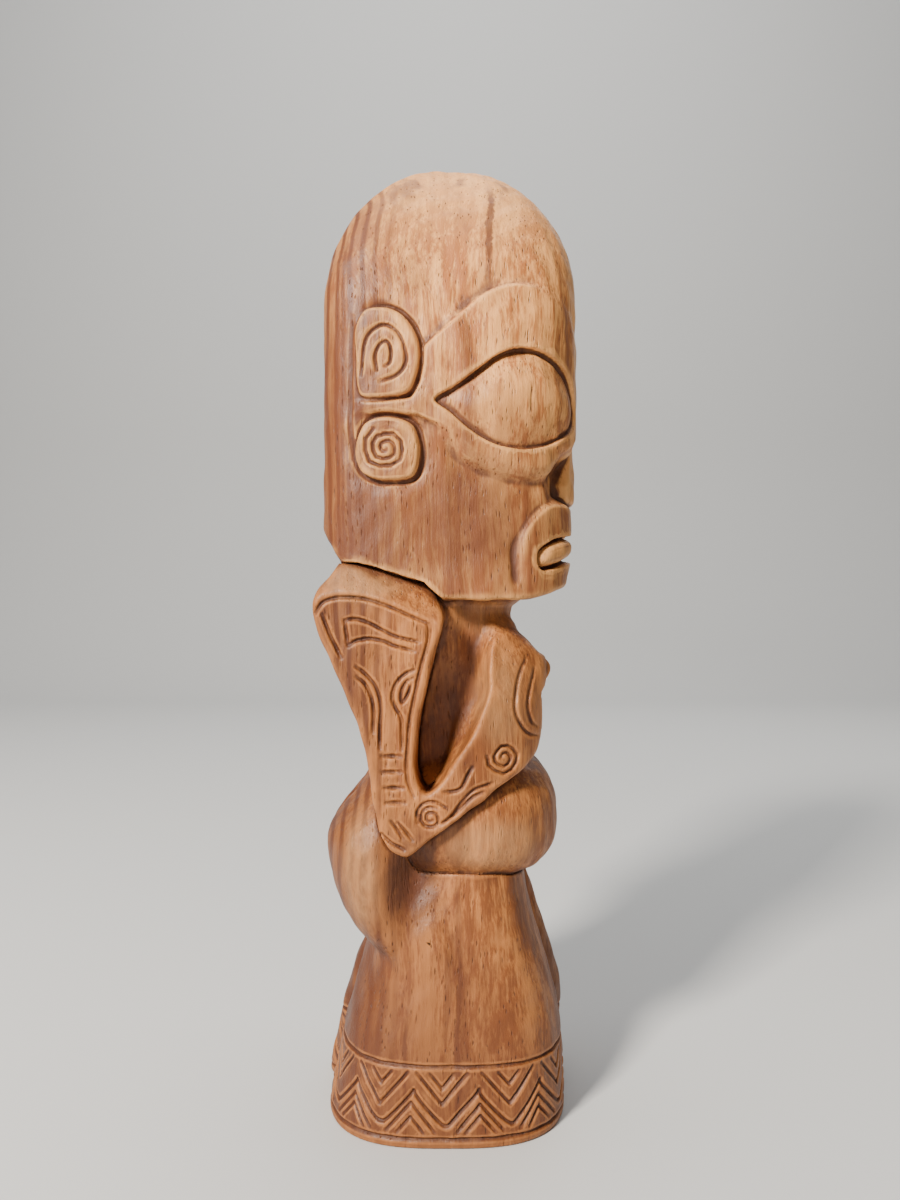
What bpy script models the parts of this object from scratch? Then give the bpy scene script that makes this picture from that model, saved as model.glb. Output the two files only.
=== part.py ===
"""Carved hardwood tiki figure, modelled as eight carved masses.

Metres, +Z up. The figure faces +X and +Y is its left. Right and left mirror each other about the plane
Y = 0, except that the left leg is a little longer from front to back. The origin is on the ground, under
the middle of the figure. Run it in Blender 4.5.

Each mass is a loft of rounded sections. A mass that meets another is cut by a copy of that neighbour
that is GAP larger, so the two lie face to face without touching.
"""

import math

import bmesh
import bpy
from mathutils import Matrix, Vector

MM = 0.001
GAP = 0.3  # clear space between two neighbouring masses, in millimetres

# Driving dimensions, in millimetres.
HEIGHT = 300.0
BASE_LENGTH = 74.0  # front to back, at the ground
BASE_WIDTH = 72.6  # side to side, at the ground
HEAD_LENGTH = 80.6
HEAD_WIDTH = 62.0
JAW_HEIGHT = 159.2  # underside of the jaw
SHOULDER_WIDTH = 71.0
WAIST_HEIGHT = 76.0  # crease between belly and legs
LEFT_LEG_LONGER = 1.045  # length of the left leg over that of the right one
EYE_RELIEF = 1.6  # how far the eyes stand out from the skull
EAR_RELIEF = 1.1
LIPS_SUNK = 0.9  # how far the lips lie back from the skull's surface

BASE_BACK = -38.4
BASE_FRONT = BASE_BACK + BASE_LENGTH
HEAD_BACK = -HEAD_LENGTH / 2
HEAD_FRONT = HEAD_LENGTH / 2
HEAD_SIDE = HEAD_WIDTH / 2
ARM_SIDE = SHOULDER_WIDTH / 2
CHEST_SIDE = 22.0
INNER = CHEST_SIDE + GAP  # the arms' inner face, beside the chest
ARM_SQUARE = 4.0
CLEFT_SQUARE, OUTSIDE_SQUARE = 5.0, 2.8  # corners of a leg's section: towards the other leg, and outside

RING = 32  # points around one section
ARM_RING = 24
THROUGH = 60.0  # half length of a cutter that passes through the whole figure
SHARP_ANGLE = 35  # degrees; steeper edges are shaded sharp
ROUGHNESS = 0.45
FINISH = {
    "head": (0.52, 0.29, 0.15),
    "torso": (0.36, 0.17, 0.09),
    "arm": (0.44, 0.22, 0.11),
    "belly": (0.46, 0.24, 0.13),
    "hips": (0.42, 0.21, 0.11),
    "leg": (0.43, 0.22, 0.11),
}

# Where the head sits on the neck and the shoulders, as (x, z) from back to front.
NECKLINE = [(-THROUGH, 171.0), (-28.0, 170.5), (-8.0, 164.5), (-2.5, JAW_HEIGHT), (THROUGH, JAW_HEIGHT)]


def clear_scene():
    for old in list(bpy.data.objects):
        bpy.data.objects.remove(old)


def new_collection(name):
    made = bpy.data.collections.new(name)
    bpy.context.scene.collection.children.link(made)
    return made


def wood(name):
    """One satin wood finish per kind of mass."""
    material = bpy.data.materials.get("wood_" + name)
    if material:
        return material
    material = bpy.data.materials.new("wood_" + name)
    material.use_nodes = True
    shader = material.node_tree.nodes["Principled BSDF"]
    shader.inputs["Base Color"].default_value = (*FINISH[name], 1.0)
    shader.inputs["Roughness"].default_value = ROUGHNESS
    return material


def mesh_object(name, build, collection):
    """A new object whose mesh is filled in by build(bm), in millimetres."""
    bm = bmesh.new()
    build(bm)
    bmesh.ops.scale(bm, vec=(MM, MM, MM), verts=bm.verts)
    bmesh.ops.recalc_face_normals(bm, faces=bm.faces)
    mesh = bpy.data.meshes.new(name)
    bm.to_mesh(mesh)
    bm.free()
    mesh.shade_smooth()
    mesh.set_sharp_from_angle(angle=math.radians(SHARP_ANGLE))
    made = bpy.data.objects.new(name, mesh)
    collection.objects.link(made)
    return made


def part(name, build, finish):
    made = mesh_object(name, build, figure)
    made.data.materials.append(wood(finish))
    return made


def cutter(name, build):
    made = mesh_object(name, build, cutters)
    made.hide_render = True
    made.display_type = "WIRE"
    return made


def boolean(target, other, operation="DIFFERENCE"):
    modifier = target.modifiers.new(other.name, "BOOLEAN")
    modifier.operation = operation
    modifier.object = other


def signed_power(value, power):
    return math.copysign(abs(value) ** power, value)


def section(back, front, low, high, n_back, n_front, count=RING):
    """A rounded section in a plane: u runs back to front, v low to high; a larger n is squarer."""
    centre_u, half_u = (back + front) / 2, (front - back) / 2
    centre_v, half_v = (low + high) / 2, (high - low) / 2
    ring = []
    for step in range(count):
        angle = 2 * math.pi * (step + 0.5) / count
        n = n_front if math.cos(angle) > 0 else n_back
        u = centre_u + half_u * signed_power(math.cos(angle), 2 / n)
        v = centre_v + half_v * signed_power(math.sin(angle), 2 / n)
        ring.append((u, v))
    return ring


def skin(bm, rings):
    """Joins rings of equal length with quads and closes both ends."""
    rows = [[bm.verts.new(point) for point in ring] for ring in rings]
    count = len(rows[0])
    for lower, upper in zip(rows, rows[1:]):
        for i in range(count):
            j = (i + 1) % count
            bm.faces.new((lower[i], lower[j], upper[j], upper[i]))
    bm.faces.new(rows[0][::-1])
    bm.faces.new(rows[-1])


def level_loft(stations, grow=0.0):
    """build(bm) for a mass of level sections: (z, back, front, low y, high y, n_back, n_front)."""

    def build(bm):
        rings = []
        for index, (z, back, front, low, high, n_back, n_front) in enumerate(stations):
            if index == 0:
                z -= grow
            elif index == len(stations) - 1:
                z += grow
            ring = section(back - grow, front + grow, low - grow, high + grow, n_back, n_front)
            rings.append([Vector((x, y, z)) for x, y in ring])
        skin(bm, rings)

    return build


def ellipsoid(centre, radii):
    """build(bm) for an ellipsoid."""

    def build(bm):
        place = Matrix.Translation(centre) @ Matrix.Diagonal((*radii, 1.0))
        bmesh.ops.create_uvsphere(bm, u_segments=24, v_segments=14, radius=1.0, matrix=place)

    return build


def prism(outline, low, high):
    """build(bm) for an outline on the side of the figure, pushed across it from y = low to y = high."""

    def build(bm):
        skin(bm, [[Vector((x, y, z)) for x, z in outline] for y in (low, high)])

    return build


def mirrored(build, side):
    """The same shape on the right (side = -1) or the left (side = 1) of the figure."""

    def build_side(bm):
        build(bm)
        if side > 0:
            bmesh.ops.scale(bm, vec=(1, -1, 1), verts=bm.verts)

    return build_side


# The masses, each as a function of how much larger than its true size it is built.


STRAIGHT_TOP = 250.0  # where the crown begins to close
CROWN_LEVELS = 9
CROWN_STEP = 9.6  # degrees of the crown's arc between two of its levels
SQUARE_BACK, SQUARE_FRONT = 4.5, 2.6


def skull(grow=0.0):
    """Tall block with a domed crown, squarer behind and round in front."""
    levels = []
    insets = [(JAW_HEIGHT - 2.0, 2.5, 5.5), (175.0, 0.3, 0.3), (200.0, 0.0, 0.0), (STRAIGHT_TOP, 0.5, 0.5)]
    for z, behind, before in insets:
        ends = (HEAD_BACK + behind, HEAD_FRONT - before, -HEAD_SIDE, HEAD_SIDE)
        levels.append((z, *ends, SQUARE_BACK, SQUARE_FRONT))
    rise = HEIGHT - STRAIGHT_TOP
    for step in range(1, CROWN_LEVELS + 1):
        angle = math.radians(CROWN_STEP * step)
        spread = math.cos(angle) ** 0.85
        front, back, side = (HEAD_FRONT - 0.5) * spread, (HEAD_BACK + 0.5) * spread, HEAD_SIDE * spread
        z = STRAIGHT_TOP + rise * math.sin(angle)
        levels.append((z, back, front, -side, side, SQUARE_BACK - 0.22 * step, SQUARE_FRONT - 0.05 * step))
    levels.append((HEIGHT, -2.0, 2.0, -2.0, 2.0, 2.0, 2.0))
    return level_loft(levels, grow)


# Outlines on the side of the head, as (x, z) points that a smooth closed curve passes through.
EYE = [
    (-3.8, 218.3), (8.5, 227.3), (20.0, 234.6), (32.0, 233.2), (40.0, 219.5), (32.0, 208.2), (20.0, 204.0),
    (7.0, 208.8),
]
UPPER_EAR = [
    (-27.2, 232.0), (-24.6, 244.2), (-16.5, 244.6), (-9.2, 236.5), (-8.6, 226.5), (-11.8, 219.8), (-23.0, 218.7),
]
LOWER_EAR = [
    (-27.5, 200.5), (-24.5, 211.0), (-17.0, 213.1), (-10.0, 210.0), (-8.2, 202.5), (-11.0, 195.2), (-22.5, 194.6),
]
MOUTH = [(27.5, 172.5), (33.0, 178.3), (48.0, 180.0), (48.0, 167.0), (33.0, 168.2)]
LIPS = [(20.0, 173.0), (33.0, 176.3), (48.0, 175.5), (48.0, 170.5), (33.0, 169.8)]


def smooth_loop(points, steps=4):
    """Points along the Catmull-Rom curve through a closed loop of points."""
    loop = []
    count = len(points)
    for i in range(count):
        before, start, end, after = (Vector(points[(i + k) % count]) for k in (-1, 0, 1, 2))
        for step in range(steps):
            t = step / steps
            bend = 2 * before - 5 * start + 4 * end - after
            twist = 3 * start - before - 3 * end + after
            loop.append(tuple(start + 0.5 * t * (end - before + t * (bend + t * twist))))
    return loop


def relief(name, outline, height, low, high):
    """A cutter with the skull's own surface, height further out, inside an outline on the side."""
    made = cutter(name, skull(height))
    boolean(made, cutter(name + "_outline", prism(outline, low, high)), "INTERSECT")
    return made


def cheek_hollow():
    """The scoop beside the nose, which leaves the nose standing between two of them."""
    return ellipsoid((42.5, -20.0, 197.0), (9.5, 14.5, 8.0))


def breast():
    """Small cone on the chest, beside the fingertips, pointing forward and a little down."""

    def build(bm):
        place = Matrix.Translation((22.5, -11.5, 138.6)) @ Matrix.Rotation(math.radians(96), 4, "Y")
        bmesh.ops.create_cone(
            bm, cap_ends=True, segments=20, radius1=12.0, radius2=1.8, depth=15.0, matrix=place
        )

    return build


def buttock_cleft():
    return ellipsoid((-41.0, 0.0, 78.0), (8.0, 3.0, 27.0))


def chest():
    """Neck, chest and back: the narrow column behind the arms."""
    rows = [
        # height, back, front, squareness of the front
        (92.0, -24.0, 20.0, 3.0), (112.0, -24.0, 22.0, 3.0), (124.0, -26.0, 23.6, 2.8), (134.0, -28.5, 24.0, 2.6),
        (141.0, -30.5, 22.4, 2.6), (147.0, -32.0, 20.0, 2.6), (152.0, -33.0, 18.9, 2.6), (156.0, -33.6, 18.7, 2.6),
        (157.8, -33.6, 19.6, 2.6), (160.0, -33.6, 22.0, 2.6), (173.0, -33.6, 22.0, 2.6),
    ]
    return level_loft([(z, back, front, -CHEST_SIDE, CHEST_SIDE, 3.5, n) for z, back, front, n in rows])


def arm_stroke(stations, grow):
    """build(bm) for a limb: (x, z, direction, width, inner y, outer y) along its middle line."""

    def build(bm):
        rings = []
        last = len(stations) - 1
        for index, (x, z, direction, width, inner, outer) in enumerate(stations):
            along = Vector((math.cos(math.radians(direction)), 0, math.sin(math.radians(direction))))
            across = Vector((along.z, 0, -along.x))
            centre = Vector((x, 0, z))
            if index == 0:
                centre -= along * grow
            elif index == last:
                centre += along * grow
            half = width / 2 + grow
            ring = section(-half, half, -outer - grow, -inner + grow, ARM_SQUARE, ARM_SQUARE, ARM_RING)
            rings.append([centre + across * u + Vector((0, v, 0)) for u, v in ring])
        skin(bm, rings)

    return build




def upper_arm(grow=0.0):
    """Flat slab, wide at the shoulder and narrow at the elbow."""
    stations = [
        (-21.0, 171.5, -92, 20.0, INNER, 29.5),
        (-21.3, 169.0, -91, 31.0, INNER, 32.0),
        (-21.4, 163.5, -90, 36.5, INNER, ARM_SIDE - 1.2),
        (-21.3, 157.0, -90, 38.0, INNER, ARM_SIDE),
        (-20.0, 148.0, -85, 35.0, INNER, ARM_SIDE),
        (-18.3, 136.0, -83, 28.0, INNER, ARM_SIDE),
        (-17.3, 124.0, -84, 20.5, INNER, ARM_SIDE),
        (-16.8, 112.0, -87, 15.5, INNER - 2, ARM_SIDE),
        (-16.0, 98.0, -82, 14.5, INNER - 2, ARM_SIDE),
        (-14.0, 89.0, -75, 12.0, INNER - 2, ARM_SIDE - 0.5),
        (-13.0, 84.0, -75, 7.0, INNER - 2, ARM_SIDE - 1.5),
    ]
    return arm_stroke(stations, grow)


def forearm(grow=0.0):
    """From the elbow up to the hand, which wraps in to the front of the chest."""
    stations = [
        (-13.5, 88.0, 40, 10.0, INNER - 2, ARM_SIDE - 0.8),
        (-9.0, 93.5, 45, 15.5, INNER - 2, ARM_SIDE - 0.3),
        (-1.0, 101.0, 44, 17.0, INNER - 2, ARM_SIDE - 1.0),
        (7.5, 109.5, 46, 17.5, INNER - 2, ARM_SIDE - 2.2),
        (15.0, 118.5, 55, 19.0, 17.0, 31.0),
        (20.0, 128.0, 70, 19.5, 13.0, 27.5),
        (21.5, 137.5, 88, 15.0, 11.0, 25.5),
        (20.5, 146.0, 95, 9.0, 12.0, 22.8),
    ]
    return arm_stroke(stations, grow)


def paunch(grow=0.0):
    """The round belly, fullest low at the front, with its underside creased onto the legs."""
    rows = [
        # height, back, front, half width, squareness of the front
        (WAIST_HEIGHT, -20.0, 23.5, 28.5, 2.6), (WAIST_HEIGHT + 2.5, -20.0, 28.5, 30.3, 2.5),
        (82.0, -20.0, 32.5, 31.5, 2.4), (88.0, -20.0, 34.6, 31.5, 2.4), (94.0, -20.0, 34.6, 31.5, 2.4),
        (100.0, -20.0, 32.8, 30.5, 2.4), (106.0, -18.0, 28.6, 27.5, 2.4), (110.5, -16.0, 23.6, 23.5, 2.4),
    ]
    return level_loft([(z, back, front, -half, half, 3.0, n) for z, back, front, half, n in rows], grow)


def seat(grow=0.0):
    """Pelvis and buttocks, overhanging the backs of the legs."""
    rows = [
        # height, back, front, half width
        (51.5, -25.0, -12.0, 21.6), (56.5, -29.5, -8.0, 26.7), (63.0, -34.0, -4.0, 30.5), (71.0, -37.4, 0.0, 32.5),
        (79.0, -38.9, 2.0, 33.2), (86.0, -38.9, 2.0, 33.2), (93.0, -35.8, 2.0, 31.8), (100.0, -30.4, 0.0, 29.0),
        (107.0, -25.4, -2.0, 25.5),
    ]
    return level_loft([(z, back, front, -half, half, 2.7, 2.6) for z, back, front, half in rows], grow)


def leg(longer=1.0):
    """One flared leg, round outside and nearly flat along the cleft between the two."""
    rows = [
        # height, back, front, outer side
        (0.0, BASE_BACK + 0.6, BASE_FRONT - 0.6, BASE_WIDTH / 2 - 0.6), (1.2, BASE_BACK, BASE_FRONT, BASE_WIDTH / 2),
        (12.0, -36.6, 35.2, 36.0), (22.0, -34.6, 34.8, 35.2), (30.0, -32.8, 34.2, 34.4), (40.0, -30.0, 32.2, 33.2),
        (52.0, -26.6, 28.4, 31.6), (64.0, -24.8, 24.8, 30.0), (WAIST_HEIGHT + 6.0, -24.0, 23.0, 28.6),
    ]

    def build(bm):
        rings = []
        for z, back, front, outer in rows:
            middle_x, half_x = (back + front) / 2 * longer, (front - back) / 2 * longer
            middle_y, half_y = -(outer + GAP / 2) / 2, (outer - GAP / 2) / 2
            ring = []
            for step in range(RING):
                angle = 2 * math.pi * (step + 0.5) / RING
                n = CLEFT_SQUARE if math.sin(angle) > 0 else OUTSIDE_SQUARE
                x = middle_x + half_x * signed_power(math.cos(angle), 2 / n)
                y = middle_y + half_y * signed_power(math.sin(angle), 2 / n)
                ring.append(Vector((x, y, z)))
            rings.append(ring)
        skin(bm, rings)

    return build


clear_scene()
figure = new_collection("tiki_figure")
cutters = new_collection("cutters")

head = part("head", skull(), "head")
torso = part("torso", chest(), "torso")
belly = part("belly", paunch(), "belly")
hips = part("hips", seat(), "hips")
arms = []
legs = []
arm_space = []
for side_name, side in (("right", -1), ("left", 1)):
    arm = part(side_name + "_arm", mirrored(upper_arm(), side), "arm")
    boolean(arm, cutter(side_name + "_forearm", mirrored(forearm(), side)), "UNION")
    arms.append(arm)
    longer = LEFT_LEG_LONGER if side > 0 else 1.0
    legs.append(part(side_name + "_leg", mirrored(leg(longer), side), "leg"))
    arm_space.append(cutter(side_name + "_upper_arm_space", mirrored(upper_arm(GAP), side)))
    arm_space.append(cutter(side_name + "_forearm_space", mirrored(forearm(GAP), side)))

under_head = NECKLINE + [(THROUGH, 100.0), (-THROUGH, 100.0)]
over_neck = [(x, z - GAP) for x, z in NECKLINE] + [(THROUGH, HEIGHT + 20.0), (-THROUGH, HEIGHT + 20.0)]
below_head = cutter("below_head", prism(under_head, -THROUGH, THROUGH))
above_neck = cutter("above_neck", prism(over_neck, -THROUGH, THROUGH))
belly_space = cutter("belly_space", paunch(GAP))
hips_space = cutter("hips_space", seat(GAP))

raised_features = [
    # name, outline, how far it stands out
    ("eye", EYE, EYE_RELIEF), ("upper_ear", UPPER_EAR, EAR_RELIEF), ("lower_ear", LOWER_EAR, EAR_RELIEF),
]
for side_name, side in (("right", -1), ("left", 1)):
    near, far = sorted((4.0 * side, THROUGH * side))
    for feature, outline, height in raised_features:
        raised = relief(side_name + "_" + feature, smooth_loop(outline), height, near, far)
        boolean(head, raised, "UNION")
    boolean(head, cutter(side_name + "_cheek_hollow", mirrored(cheek_hollow(), side)))
    boolean(torso, cutter(side_name + "_breast", mirrored(breast(), side)), "UNION")
boolean(head, cutter("mouth", prism(MOUTH, -THROUGH, THROUGH)))
boolean(head, relief("lips", LIPS, -LIPS_SUNK, -THROUGH, THROUGH), "UNION")
boolean(head, below_head)
boolean(hips, cutter("buttock_cleft", buttock_cleft()))
for arm in arms:
    boolean(arm, above_neck)
boolean(torso, above_neck)
for space in arm_space:
    boolean(torso, space)
    boolean(belly, space)
    boolean(hips, space)
boolean(hips, belly_space)
for space in (belly_space, hips_space):
    boolean(torso, space)
    for one_leg in legs:
        boolean(one_leg, space)
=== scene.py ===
"""Looks of the carved tiki figure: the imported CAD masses, re-carved at full detail in satin hardwood.

The figure is a field of signed distances, in millimetres, on a regular grid: each mass is a rounded
solid, relief and grooves are added to it, and the masses are blended where the wood runs on. A mesh is
drawn round the part of the field that belongs to each CAD node, so neighbouring pieces share one edge.
Only the right half (Y <= 0) is worked out; the left half mirrors it.
"""

import math

import bpy
import numpy as np
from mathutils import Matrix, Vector


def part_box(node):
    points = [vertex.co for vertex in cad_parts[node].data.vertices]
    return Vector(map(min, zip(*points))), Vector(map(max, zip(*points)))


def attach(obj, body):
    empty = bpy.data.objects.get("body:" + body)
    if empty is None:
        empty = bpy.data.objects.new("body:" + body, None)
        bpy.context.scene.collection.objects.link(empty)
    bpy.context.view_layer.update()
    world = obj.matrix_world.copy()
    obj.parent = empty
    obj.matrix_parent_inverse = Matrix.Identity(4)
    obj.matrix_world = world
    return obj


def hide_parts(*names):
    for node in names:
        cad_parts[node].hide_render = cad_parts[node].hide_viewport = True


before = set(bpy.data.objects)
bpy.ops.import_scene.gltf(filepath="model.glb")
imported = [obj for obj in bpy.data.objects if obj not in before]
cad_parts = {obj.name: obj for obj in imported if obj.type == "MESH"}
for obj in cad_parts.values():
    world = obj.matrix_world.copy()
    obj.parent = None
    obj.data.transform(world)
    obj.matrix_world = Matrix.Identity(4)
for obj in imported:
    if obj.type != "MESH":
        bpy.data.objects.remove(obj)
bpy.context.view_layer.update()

MM = 0.001
STEP = 0.4  # grid spacing
FAR = 20.0  # stands for "well outside"

# Sizes that the CAD model sets, in millimetres.


def node_box(name):
    low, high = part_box(name)
    return low / MM, high / MM


HEAD_LOW, HEAD_HIGH = node_box("head")
LEG_LOW, LEG_HIGH = node_box("right_leg")
TOP = HEAD_HIGH.z
JAW = HEAD_LOW.z
ARM_OUT = node_box("right_arm")[0].y
BASE_BACK, BASE_FRONT, BASE_OUT = LEG_LOW.x, LEG_HIGH.x, LEG_LOW.y

# The grid.
REACH = 3  # grid steps kept past the middle plane, so that a half closes


def axis_points(low, high):
    return (np.arange(math.floor(low / STEP), math.ceil(high / STEP) + 1) * STEP).astype(np.float32)


XS = axis_points(HEAD_LOW.x - 2.5, HEAD_HIGH.x + 2.5)
YS = axis_points(BASE_OUT - 2.5, REACH * STEP)
ZS = axis_points(-2.0, TOP + 2.0)
X = XS[:, None, None]
Y = YS[None, :, None]
MIDDLE = len(YS) - 1 - REACH  # index of Y = 0


def levels(low, high):
    """The grid's levels between two heights, as a slice."""
    start, stop = np.searchsorted(ZS, (low, high))
    return slice(int(start), int(stop))


# Shaping tools on arrays.


def smooth_min(a, b, radius):
    mix = np.clip(0.5 + 0.5 * (b - a) / radius, 0, 1)
    return b + (a - b) * mix - radius * mix * (1.0 - mix)


def smooth_max(a, b, radius):
    return -smooth_min(-a, -b, radius)


def ramp(value, low, high):
    """0 below low, 1 above high, smooth between."""
    t = np.clip((value - low) / (high - low), 0, 1)
    return t * t * (3.0 - 2.0 * t)


def curve_through(at, knots):
    """A smooth curve through (place, value, value...) rows; returns one array for each value."""
    rows = np.array(knots, float)
    places = rows[:, 0]
    index = np.clip(np.searchsorted(places, at) - 1, 0, len(places) - 2)
    width = places[index + 1] - places[index]
    t = np.clip((at - places[index]) / width, 0, 1)
    found = []
    for values in rows[:, 1:].T:
        slopes = np.gradient(values, places)
        start, end = values[index], values[index + 1]
        out, into = slopes[index] * width, slopes[index + 1] * width
        bend = t * (1 - t) * ((1 - t) * (out - end + start) - t * (into - end + start))
        found.append((start + (end - start) * t + bend).astype(np.float32))
    return found


def as_distance(field):
    """Rescales a field so that it measures millimetres near its surface."""
    slope = np.zeros_like(field)
    for part in np.gradient(field, STEP):
        slope += part * part
    return field / np.maximum(np.sqrt(slope), 1e-3)


def rounded(u, v, n):
    """1 on the edge of a rounded section; a larger n is squarer."""
    return (np.abs(u) ** n + np.abs(v) ** n) ** (1.0 / n)


def soften(sheet, reach):
    """A flat map blurred over a reach in samples."""
    offsets = np.arange(-3 * reach, 3 * reach + 1)
    weights = np.exp(-0.5 * (offsets / reach) ** 2)
    weights /= weights.sum()
    for axis in (0, 1):
        padded = np.pad(sheet, [(3 * reach, 3 * reach) if a == axis else (0, 0) for a in (0, 1)], mode="edge")
        sheet = sum(w * np.take(padded, np.arange(sheet.shape[axis]) + 3 * reach + o, axis)
                    for w, o in zip(weights, offsets))
    return sheet


# Drawing tools on a flat map.


def spline(points, closed=False, pieces=8):
    """Points along the Catmull-Rom curve through the given points."""
    given = np.array(points, float)
    if closed:
        given = np.vstack([given[-1:], given, given[:2]])
    else:
        given = np.vstack([2 * given[0] - given[1], given, 2 * given[-1] - given[-2]])
    t = (np.arange(pieces) / pieces)[:, None]
    made = []
    for before, start, end, after in zip(given, given[1:], given[2:], given[3:]):
        bend = 2 * before - 5 * start + 4 * end - after
        twist = 3 * start - before - 3 * end + after
        made.append(start + 0.5 * t * (end - before + t * (bend + t * twist)))
    if not closed:
        made.append(given[-2:-1])
    return np.vstack(made)


class Map:
    """Heights over a flat sheet (u across, z up); positive stands out from the surface."""

    def __init__(self, low, high, heights, step=0.2):
        self.low, self.step = low, step
        self.u = np.arange(low, high, step)[:, None]
        self.z = np.asarray(heights, float)[None, :]
        self.height = np.zeros((self.u.size, self.z.size))

    def line(self, points, closed=False):
        """Distance to a line of straight pieces."""
        ends = np.vstack([points, points[:1]]) if closed else np.asarray(points)
        best = np.full(self.height.shape, 1e9)
        for (au, az), (bu, bz) in zip(ends[:-1], ends[1:]):
            du, dz = bu - au, bz - az
            length = max(du * du + dz * dz, 1e-9)
            t = np.clip(((self.u - au) * du + (self.z - az) * dz) / length, 0, 1)
            np.minimum(best, (self.u - au - t * du) ** 2 + (self.z - az - t * dz) ** 2, out=best)
        return np.sqrt(best)

    def area(self, points):
        """Signed distance to a closed outline, negative inside."""
        inside = np.zeros(self.height.shape, bool)
        for (au, az), (bu, bz) in zip(points, np.roll(points, -1, axis=0)):
            crosses = (az > self.z) != (bz > self.z)
            rise = bz - az if bz != az else 1e-9
            inside ^= crosses & (self.u < au + (self.z - az) * (bu - au) / rise)
        return np.where(inside, -1, 1) * self.line(points, closed=True)

    def groove(self, points, width, depth, taper=True, curved=True):
        """A V-shaped cut along a line, running out at its ends."""
        path = spline(points) if curved else np.array(points, float)
        cut = np.clip(1.0 - self.line(path) / (width / 2), 0, 1)
        if taper:
            for end in (path[0], path[-1]):
                away = np.hypot(self.u - end[0], self.z - end[1])
                cut = cut * (0.35 + 0.65 * np.clip(away / (1.6 * width), 0, 1))
        self.height -= depth * cut * (1.6 - 0.6 * cut)

    def spread(self, u):
        """The heights at the given places across, at every level."""
        at = np.clip((u - self.low) / self.step, 0, self.u.size - 1.001)
        index = at.astype(int)
        part = (at - index)[..., None].astype(np.float32)
        rows = self.height.astype(np.float32)
        return rows[index] * (1 - part) + rows[index + 1] * part


# Head.

RELIEF = 1.1  # how far brow, lids and ears stand out from the skull
SKULL_BACK = HEAD_LOW.x + 0.2
SKULL_FRONT = HEAD_HIGH.x - 0.8
SKULL_SIDE = -HEAD_LOW.y - 0.5
SKULL_MIDDLE = (SKULL_BACK + SKULL_FRONT) / 2
SKULL_HALF = (SKULL_FRONT - SKULL_BACK) / 2
SQUARE_BACK, SQUARE_FRONT = 4.5, 2.6
# Where the crown begins to close: over the sides, the back and the front.
CROWN_SIDE, CROWN_BACK, CROWN_FRONT = 230, 255.5, 257.5
CROWN_TOP = TOP - 0.7


def skull_section(angle):
    """The point of the skull's level section at an angle from straight ahead towards the right side."""
    n = np.where(np.cos(angle) > 0, SQUARE_FRONT, SQUARE_BACK)
    u = np.sign(np.cos(angle)) * np.abs(np.cos(angle)) ** (2 / n)
    return SKULL_MIDDLE + SKULL_HALF * u, -SKULL_SIDE * np.abs(np.sin(angle)) ** (2 / n)


def along_head(x, y):
    """Distance along the skull's section, 0 beside X = 0, growing to the front."""
    around = np.linspace(0, math.pi, 4001)
    px, py = skull_section(around)
    length = np.concatenate([[0.0], np.cumsum(np.hypot(np.diff(px), np.diff(py)))])
    bearing = np.arctan2(-py, px - SKULL_MIDDLE)
    start = np.interp(math.pi / 2, bearing, length) - SKULL_MIDDLE
    here = np.arctan2(np.abs(y) + 1e-6, x - SKULL_MIDDLE)
    return start - np.interp(here, bearing, length)


FACE_CENTRE = float(along_head(np.array(60.0), np.array(0.0)))  # the middle of the face, along the section

# Outlines and lines on the head, as (place along the section, height).
EYE = [
    (-4.3, 218.3), (2, 222.6), (8.6, 227.6), (14.3, 231.8), (20.5, 234.1), (28.5, 233.8), (37, 230.6),
    (44.5, 225), (47.3, 218.2), (44.5, 212.6), (36.6, 208.2), (29, 205), (20.5, 203.8), (12.5, 205.4),
    (5.5, 209.6), (0.2, 214.3),
]
BROW = [
    (-8.2, 233.8), (-1.6, 239.4), (6.3, 246.7), (11.9, 250.7), (17.7, 253), (24, 254.2), (30.7, 254.2),
    (38, 253), (48, 250.5), (FACE_CENTRE, 249),
]
LOWER_LID = [
    (-8.6, 213.2), (-3.8, 210.8), (0.5, 206.4), (5, 201.9), (11, 199.2), (18.5, 197), (27, 196.6),
    (35.5, 199.6), (42.5, 204), (48.5, 207.5), (FACE_CENTRE, 209),
]
UPPER_EAR = [
    (-27.6, 233), (-27.6, 239.5), (-24.9, 245), (-19.8, 245.8), (-15, 244), (-11.2, 240.1), (-8.8, 234.8),
    (-8.4, 229.6), (-9.6, 224.4), (-11.6, 220.4), (-16.8, 218.9), (-25, 218.9), (-27.2, 223),
]
LOWER_EAR = [
    (-28, 203.5), (-25.8, 210.4), (-22.5, 212.8), (-18, 213.3), (-13.5, 212.4), (-10.4, 210.4),
    (-8.8, 206.2), (-8.5, 202), (-9.7, 197), (-12, 194.9), (-16.8, 194.3), (-21.9, 194.7), (-26.4, 197.4),
]
MUZZLE = [
    (34.5, 189), (30, 187.6), (26.4, 184.6), (23.4, 181.2), (21.6, 177.4), (20.9, 172.5), (20.9, 165),
    (21.2, 154),
]
MOUTH = [
    (26.9, 171.4), (27.8, 174.2), (31.6, 176.7), (36, 178.2), (42, 179), (50, 179.6), (62, 179.8),
    (62, 171.6), (50, 171.1), (42, 170.3), (37, 169.2), (33.4, 168.4), (29.9, 167.9), (27.6, 169),
]
LIPS = [
    (27.7, 171.6), (28.5, 173.6), (32.2, 176.3), (37.6, 177.9), (44, 178.5), (54, 178.8), (62, 178.8),
    (62, 172.6), (50, 172.4), (42, 171.6), (37, 170.3), (33, 169.4), (30, 169), (28.2, 169.8),
]
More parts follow.
